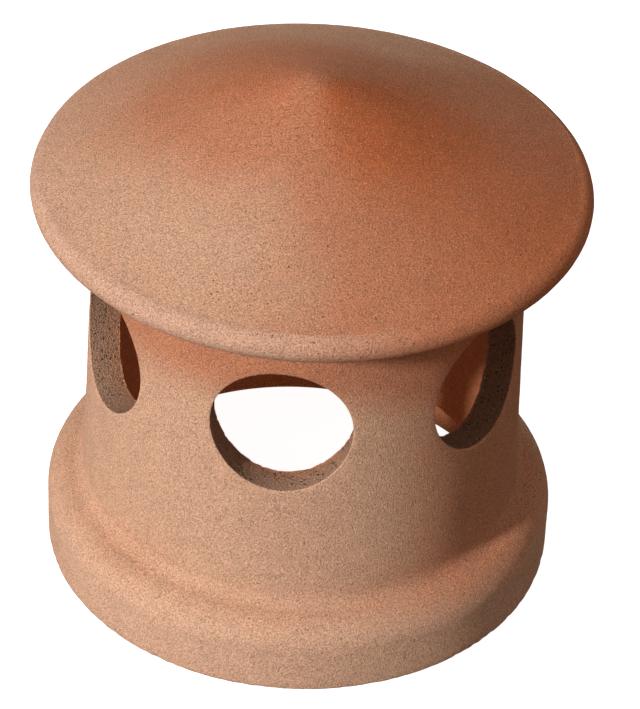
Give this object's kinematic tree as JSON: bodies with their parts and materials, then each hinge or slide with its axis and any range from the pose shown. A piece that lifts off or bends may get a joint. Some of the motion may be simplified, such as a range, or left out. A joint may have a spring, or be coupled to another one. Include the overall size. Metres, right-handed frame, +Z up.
{
  "type": "chimney cowl",
  "caption": "Fired-clay chimney cowl: hollow drum on a round foot, with round side holes and a wide shallow conical cap that keeps rain out of a flue.",
  "frame": {"origin": "centre of the underside, on the surface it stands on", "axes": "+Z up the axis of turning, towards the cap's tip; -Y through the middle of one of the side holes"},
  "size_m": [0.31, 0.31, 0.3113],
  "materials": {
    "fired_clay": "unglazed, matt, sandy"
  },
  "bodies": {
    "root": {"cowl": "fired_clay"}
  },
  "joints": []
}
